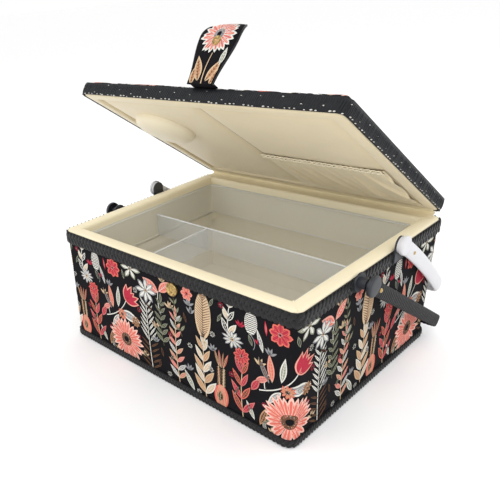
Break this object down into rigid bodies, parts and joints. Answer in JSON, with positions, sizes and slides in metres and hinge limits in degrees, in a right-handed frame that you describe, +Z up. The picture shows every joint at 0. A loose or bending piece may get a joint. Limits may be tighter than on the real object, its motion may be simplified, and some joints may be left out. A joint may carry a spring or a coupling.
{
  "type": "sewing box with trays",
  "caption": "Fabric covered sewing box with a padded hinged lid, clear lift-out tray, curled snap strap and two folding carrying handles",
  "frame": {"origin": "on the table, under the middle of the case", "axes": "+X to the right of someone facing the front, +Y from the front to the hinged back, +Z up"},
  "size_m": [0.3354, 0.2661, 0.3342],
  "materials": {
    "printed_cloth": "near-black cotton with a printed garden of coral, red, white and sage flowers",
    "plain_cloth": "plain black cloth under the base",
    "black_braid": "black braided trim",
    "cream_cloth": "cream cotton lining",
    "satin": "beige satin with a soft sheen",
    "wadding": "polyester wadding",
    "board": "grey-brown stiff board",
    "clear_plastic": "clear moulded plastic",
    "white_plastic": "smooth white plastic",
    "charcoal_plastic": "charcoal matte plastic",
    "brass": "antique brass",
    "steel": "plated steel"
  },
  "bodies": {
    "case": {"base_cloth": "plain_cloth", "base_board": "board", "board_front": "board", "board_back": "board", "board_left": "board", "board_right": "board", "case_cover": "printed_cloth", "rim_strip": "cream_cloth", "top_braid": "black_braid", "foot_braid": "black_braid", "lining_front": "cream_cloth", "lining_back": "cream_cloth", "lining_left": "cream_cloth", "lining_right": "cream_cloth", "lining_floor": "cream_cloth", "ledge_left": "cream_cloth", "ledge_right": "cream_cloth", "front_stud": "brass", "hinge_case_leaf": "steel", "hinge_pin": "steel", "smooth_plates": "charcoal_plastic", "woven_plates": "charcoal_plastic"},
    "lid": {"lid_board": "board", "lid_pad": "wadding", "lid_cover": "printed_cloth", "lid_band": "black_braid", "lid_border": "satin", "lid_panel_left": "satin", "lid_panel_right": "satin", "lid_pincushion": "cream_cloth", "lid_pocket": "satin", "pocket_elastic": "satin", "hinge_lid_leaf": "steel", "strap_root": "printed_cloth"},
    "strap": {"strap_flap": "printed_cloth", "strap_stud": "brass"},
    "tray": {"tray_shell": "clear_plastic", "divider_long": "clear_plastic", "divider_short": "clear_plastic"},
    "smooth_bail": {"smooth_handle": "white_plastic", "smooth_caps": "white_plastic", "smooth_rivets": "brass"},
    "woven_bail": {"woven_handle": "black_braid", "woven_caps": "charcoal_plastic", "woven_rivets": "brass"}
  },
  "joints": [
    {"name": "lid_hinge", "type": "hinge", "parent": "case", "child": "lid", "pos_m": [0, 0.13, 0.138], "axis": [-1, 0, 0], "range_deg": [-33.3, 66.7]},
    {"name": "strap_fold", "type": "hinge", "parent": "lid", "child": "strap", "pos_m": [0.016, -0.0786, 0.29273], "axis": [-1, 0, 0], "range_deg": [-184.7, 20]},
    {"name": "tray_lift", "type": "slide", "parent": "case", "child": "tray", "axis": [0, 0, 1], "range_m": [0, 0.014]},
    {"name": "smooth_swing", "type": "hinge", "parent": "case", "child": "smooth_bail", "pos_m": [0, 0.028, 0.142], "axis": [1, 0, 0], "range_deg": [0, 129]},
    {"name": "woven_swing", "type": "hinge", "parent": "case", "child": "woven_bail", "pos_m": [0, -0.04, 0.131], "axis": [1, 0, 0], "range_deg": [0, 123.7]}
  ]
}
